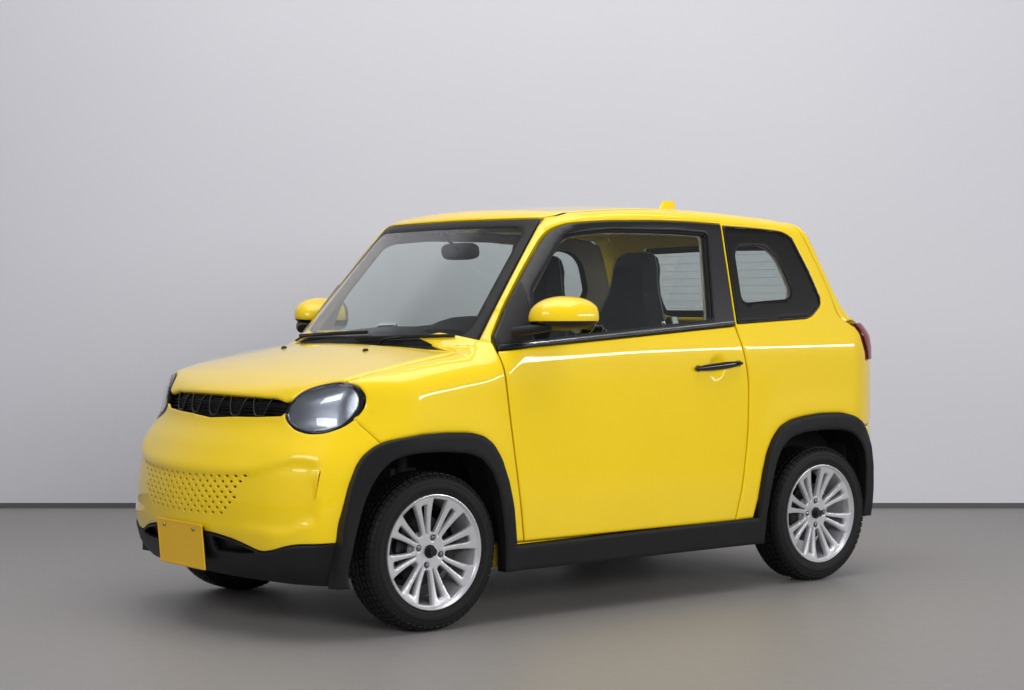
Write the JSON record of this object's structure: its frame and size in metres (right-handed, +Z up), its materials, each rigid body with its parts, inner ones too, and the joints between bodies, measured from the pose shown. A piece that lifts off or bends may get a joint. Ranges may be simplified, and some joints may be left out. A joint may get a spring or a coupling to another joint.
{
  "type": "electric kei car",
  "caption": "Small boxy electric hatchback with side doors, bonnet and tailgate on hinges, steered front wheels, glazed cabin with seats, and free-rolling wheels.",
  "frame": {"origin": "on the ground, under the middle of the car's length and width", "axes": "+X to the front of the car, +Y to its left, +Z up"},
  "size_m": [3.0899, 1.744, 1.609],
  "materials": {
    "body_yellow": "gloss yellow paint",
    "black_trim": "grained black moulding",
    "gloss_black": "gloss black moulding",
    "glass": "clear car glass",
    "lamp_clear": "clear lamp cover",
    "lamp_red": "red lamp cover",
    "interior_black": "soft black cabin moulding",
    "seat_cloth": "black seat cloth",
    "chassis": "black chassis paint",
    "underbody": "dark underbody paint",
    "alloy": "silver painted alloy",
    "tyre": "black tyre rubber",
    "plate_yellow": "blank yellow plate"
  },
  "bodies": {
    "root": {"front_wing_left": "body_yellow", "front_wing_right": "body_yellow", "front_bumper": "body_yellow", "front_valance": "black_trim", "grille": "gloss_black", "headlamps": "lamp_clear", "roof_panel": "body_yellow", "body_side_left": "body_yellow", "body_side_right": "body_yellow", "windscreen": "glass", "quarter_glass_left": "glass", "quarter_glass_right": "glass", "tail_lamps": "lamp_red", "rear_bumper": "body_yellow", "lower_trim_left": "black_trim", "lower_trim_right": "black_trim", "floor_pan": "underbody", "bulkhead": "underbody", "dashboard": "interior_black", "front_seats": "seat_cloth", "rear_seat": "seat_cloth", "interior_mirror": "gloss_black", "front_subframe": "chassis", "drive_motor": "alloy", "battery_pack": "underbody", "rear_axle": "chassis", "steering_column": "interior_black", "wipers": "black_trim", "number_plates": "plate_yellow", "antenna_fin": "body_yellow"},
    "door_left": {"door_left": "body_yellow", "door_glass_left": "glass", "door_mirror_left": "body_yellow", "door_handle_left": "gloss_black"},
    "door_right": {"door_right": "body_yellow", "door_glass_right": "glass", "door_mirror_right": "body_yellow", "door_handle_right": "gloss_black"},
    "bonnet": {"bonnet": "body_yellow"},
    "tailgate": {"tailgate": "body_yellow", "rear_glass": "glass"},
    "steering_wheel": {"steering_wheel": "interior_black"},
    "knuckle_left": {"knuckle_left": "chassis"},
    "knuckle_right": {"knuckle_right": "chassis"},
    "wheel_front_left": {"tyre_front_left": "tyre", "rim_front_left": "alloy"},
    "wheel_front_right": {"tyre_front_right": "tyre", "rim_front_right": "alloy"},
    "wheel_rear_left": {"tyre_rear_left": "tyre", "rim_rear_left": "alloy"},
    "wheel_rear_right": {"tyre_rear_right": "tyre", "rim_rear_right": "alloy"}
  },
  "joints": [
    {"name": "door_left_hinge", "type": "hinge", "parent": "root", "child": "door_left", "pos_m": [0.5, 0.692, 0.64], "axis": [0, 0, -1], "range_deg": [0, 65]},
    {"name": "door_right_hinge", "type": "hinge", "parent": "root", "child": "door_right", "pos_m": [0.5, -0.692, 0.64], "axis": [0, 0, 1], "range_deg": [0, 65]},
    {"name": "bonnet_hinge", "type": "hinge", "parent": "root", "child": "bonnet", "pos_m": [0.735, 0, 0.975], "axis": [0, -1, 0], "range_deg": [0, 55]},
    {"name": "tailgate_hinge", "type": "hinge", "parent": "root", "child": "tailgate", "pos_m": [-0.95, 0, 1.483], "axis": [0, 1, 0], "range_deg": [0, 75]},
    {"name": "steer_left", "type": "hinge", "parent": "root", "child": "knuckle_left", "pos_m": [0.925, 0.6, 0.15], "axis": [0, -0.1446, 0.9895], "range_deg": [-32, 32]},
    {"name": "steer_right", "type": "hinge", "parent": "root", "child": "knuckle_right", "pos_m": [0.925, -0.6, 0.15], "axis": [0, 0.1446, 0.9895], "range_deg": [-32, 32]},
    {"name": "steering_wheel_turn", "type": "hinge", "parent": "root", "child": "steering_wheel", "pos_m": [0.3, 0.3, 0.905], "axis": [-0.8734, 0, 0.4871], "range_deg": [-480, 480]},
    {"name": "wheel_front_left_spin", "type": "hinge", "parent": "knuckle_left", "child": "wheel_front_left", "pos_m": [0.925, 0.628, 0.281], "axis": [0, 1, 0], "continuous": true},
    {"name": "wheel_front_right_spin", "type": "hinge", "parent": "knuckle_right", "child": "wheel_front_right", "pos_m": [0.925, -0.628, 0.281], "axis": [0, 1, 0], "continuous": true},
    {"name": "wheel_rear_left_spin", "type": "hinge", "parent": "root", "child": "wheel_rear_left", "pos_m": [-1.08, 0.628, 0.281], "axis": [0, 1, 0], "continuous": true},
    {"name": "wheel_rear_right_spin", "type": "hinge", "parent": "root", "child": "wheel_rear_right", "pos_m": [-1.08, -0.628, 0.281], "axis": [0, 1, 0], "continuous": true}
  ],
  "couplings": [
    {"joint": "steer_right", "follows": "steer_left", "ratio": 1},
    {"joint": "steering_wheel_turn", "follows": "steer_left", "ratio": 15}
  ]
}
